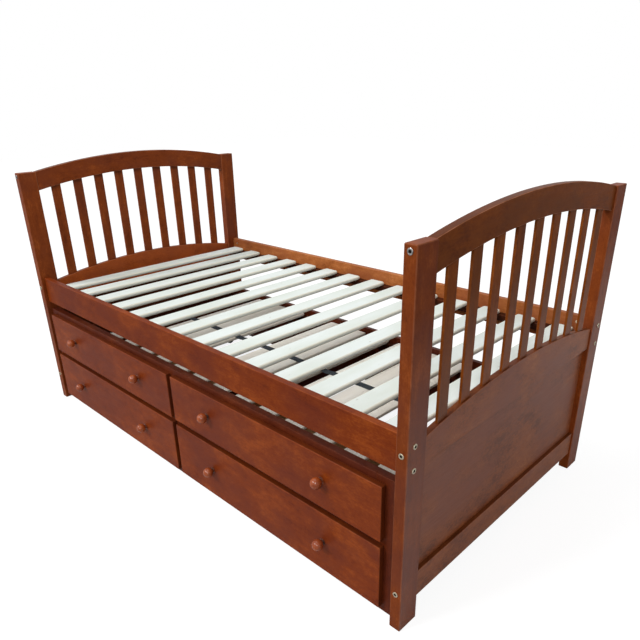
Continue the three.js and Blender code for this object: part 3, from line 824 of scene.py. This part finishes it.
def trundle_fronts():
    face = FRONT_FACE_Y + MIDDLE_Y
    for kind, knob_z in KNOB_Z.items():
        for hand, side in (("left", -1), ("right", 1)):
            node = f"{kind}_{hand}"
            box_low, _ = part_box(node)
            low = (box_low[0], face, box_low[2])
            # Painted shade on the tops and sides of the fronts
            dress_board(node, "x", ROUNDING["front"], low=low, wear=0.15, rim=0.55)
            for count, x in enumerate(KNOB_X, 1):
                knob(f"{node}_knob_{count}", side * x, face, knob_z, BODY_OF[node])


def trundle_frame():
    for node, grain in (
        ("trundle_stile_left", "z"),
        ("trundle_stile_right", "z"),
        ("trundle_stile_centre", "z"),
        ("trundle_top_rail", "x"),
        ("trundle_bottom_rail", "x"),
        ("trundle_mid_rail_left", "x"),
        ("trundle_mid_rail_right", "x"),
    ):
        dress_board(node, grain, ROUNDING["frame"], "frame")
    dress_board("trundle_back_board", "x", ROUNDING["hidden"], "frame")
    for place in ("front", "back"):
        # The cleats take the dark stain: painted shade
        dress_board(f"trundle_cleat_{place}", "x", ROUNDING["hidden"], "dark")


def trundle_deck():
    low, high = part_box("trundle_slats")
    pitch = (high[0] - low[0] - TRUNDLE_SLAT_WIDTH) / (TRUNDLE_SLATS - 1)
    top = low[2] + TRUNDLE_SLAT_THICKNESS
    for index in range(TRUNDLE_SLATS):
        start = low[0] + index * pitch
        slat_low = (start, low[1], low[2])
        slat_high = (start + TRUNDLE_SLAT_WIDTH, high[1], top)
        bm = slat_mesh(slat_low, slat_high, TRUNDLE_SLAT_CORNER, TRUNDLE_SLAT_NOSE, segments=3)
        name = f"trundle_slat_{index + 1:02d}"
        # Bare look, raised towards white: painted light on the deck
        wood = slat_wood(f"bare_{name}", name, "bare")
        replaced = ("trundle_slats",) if index == 0 else ()
        finish_piece(name, bm, wood, "trundle", replaced)
    strap(low[0], pitch, top)


# The strap lies on the slats and sags a little between them
def strap(first_edge, pitch, top):
    start = first_edge + STRAP_INSET
    steps = TRUNDLE_SLATS * STRAP_STEPS
    slat_share = TRUNDLE_SLAT_WIDTH / pitch
    flat = STRAP_HALF_WIDTH - STRAP_EDGE
    section = (
        (-STRAP_HALF_WIDTH, STRAP_EDGE_HEIGHT),
        (-flat, STRAP_THICKNESS),
        (flat, STRAP_THICKNESS),
        (STRAP_HALF_WIDTH, STRAP_EDGE_HEIGHT),
        (flat, 0.0),
        (-flat, 0.0),
    )
    rings = []
    for step in range(steps + 1):
        x = start * (1 - 2 * step / steps)
        along = ((x - first_edge) % pitch) / pitch
        height = top + STRAP_LIFT
        if along > slat_share:
            over_gap = (along - slat_share) / (1 - slat_share)
            height -= STRAP_SAG * math.sin(math.pi * over_gap) ** 2
        rings.append([(x, STRAP_Y + MIDDLE_Y + dy, height + dz) for dy, dz in section])
    finish_piece("slat_strap", rings_mesh(rings), webbing("strap_webbing"), "trundle")


# Pieces whose solids already have the right shape keep them and get their finish
def cover(node, material):
    mesh = frame["nodes"][node].data
    mesh.materials.clear()
    mesh.materials.append(material)


def finish_solids():
    for hand in ("left", "right"):
        panel = f"trundle_end_panel_{hand}"
        # Painted shade on the end panels' faces towards the middle of the bed
        cover(panel, stained_wood(panel, "y", "rail", back=0.85))
        tray = f"drawer_tray_{hand}"
        cover(tray, slat_wood(f"bare_{tray}", tray, "tray", grain="x"))
    cover("trundle_divider", stained_wood("trundle_divider", "y", "frame"))
    steel = metal("bracket_steel", srgb(70, 70, 72), srgb(48, 48, 50), rough=0.45)
    tyre = plastic("roller_plastic", srgb(34, 34, 36), srgb(58, 58, 60), rough=0.5)
    for place in ("front_left", "front_right", "rear_left", "rear_right"):
        cover(f"roller_bracket_{place}", steel)
        cover(f"roller_{place}", tyre)


# Floor: it also glows a little for the camera, so that it is as white as the background
def studio_floor():
    bm = bmesh.new()
    bmesh.ops.create_grid(bm, x_segments=2, y_segments=2, size=FLOOR_REACH)
    mesh = bpy.data.meshes.new("studio_floor")
    bm.to_mesh(mesh)
    bm.free()
    floor = add_object("studio_floor", mesh)
    floor.location.z = -FLOOR_DROP
    n = Surface("floor_paint")
    n.set(n.shader, Base_Color=FLOOR_TONE, Roughness=0.9, Specular_IOR_Level=0.0)
    glow = n.set(n.add("ShaderNodeEmission"), Strength=FLOOR_GLOW)
    seen = n.add("ShaderNodeLightPath").outputs["Is Camera Ray"]
    blend = n.add("ShaderNodeMixShader")
    n.link(n.maths("MULTIPLY", seen, FLOOR_GLOW_SHARE), blend.inputs[0])
    n.link(n.shader.outputs[0], blend.inputs[1])
    n.link(glow.outputs[0], blend.inputs[2])
    n.link(blend.outputs[0], n.output.inputs[0])
    mesh.materials.append(n.material)


# White where it is seen, also in reflections, and a weaker light on the object
def studio_world():
    world = bpy.data.worlds.new("studio_world")
    bpy.context.scene.world = world
    world.use_nodes = True
    n = Nodes(world.node_tree)
    out = n.add("ShaderNodeOutputWorld")
    rays = n.add("ShaderNodeLightPath").outputs
    seen = n.maths("MAXIMUM", rays["Is Camera Ray"], rays["Is Glossy Ray"])
    seen = n.maths("MAXIMUM", seen, rays["Is Transmission Ray"])
    level = n.span(seen, 0.0, 1.0, to_low=SKY_LIGHT, smooth=False)
    sky = n.set(n.add("ShaderNodeBackground"), Color=(1, 1, 1, 1), Strength=level)
    n.link(sky.outputs[0], out.inputs[0])


# Distant lamps light the floor evenly, so it shows no edge against the background
def distant_lamps():
    for name, (towards, strength, width) in LAMPS.items():
        data = bpy.data.lights.new(name, "SUN")
        data.energy = strength
        data.angle = math.radians(width)
        source = add_object(name, data)
        source.rotation_euler = Vector(towards).to_track_quat("Z", "Y").to_euler()


# A square panel over the slats
def deck_light():
    data = bpy.data.lights.new("deck_light", "AREA")
    data.shape = "SQUARE"
    data.size = DECK_LIGHT_SIDE
    data.energy = DECK_LIGHT_POWER
    source = add_object("deck_light", data)
    source.location = DECK_LIGHT_PLACE
    aim = Vector(DECK_LIGHT_TARGET) - Vector(DECK_LIGHT_PLACE)
    source.rotation_euler = aim.to_track_quat("-Z", "Y").to_euler()


def camera():
    data = bpy.data.cameras.new("photo_camera")
    data.sensor_width = CAMERA_SENSOR
    data.lens = CAMERA_LENS
    data.shift_x, data.shift_y = CAMERA_SHIFT
    data.clip_end = CAMERA_REACH
    eye = add_object("photo_camera", data)
    turn = Matrix((Vector(CAMERA_RIGHT), -Vector(CAMERA_DOWN), -Vector(CAMERA_AHEAD)))
    eye.matrix_world = Matrix.Translation(CAMERA_PLACE) @ turn.transposed().to_4x4()
    bpy.context.scene.camera = eye


end_board("head")
end_board("foot")
side_rails()
main_slats()
trundle_frame()
trundle_fronts()
trundle_deck()
finish_solids()
studio_floor()
studio_world()
distant_lamps()
deck_light()
camera()
bpy.context.scene.view_settings.view_transform = "Standard"
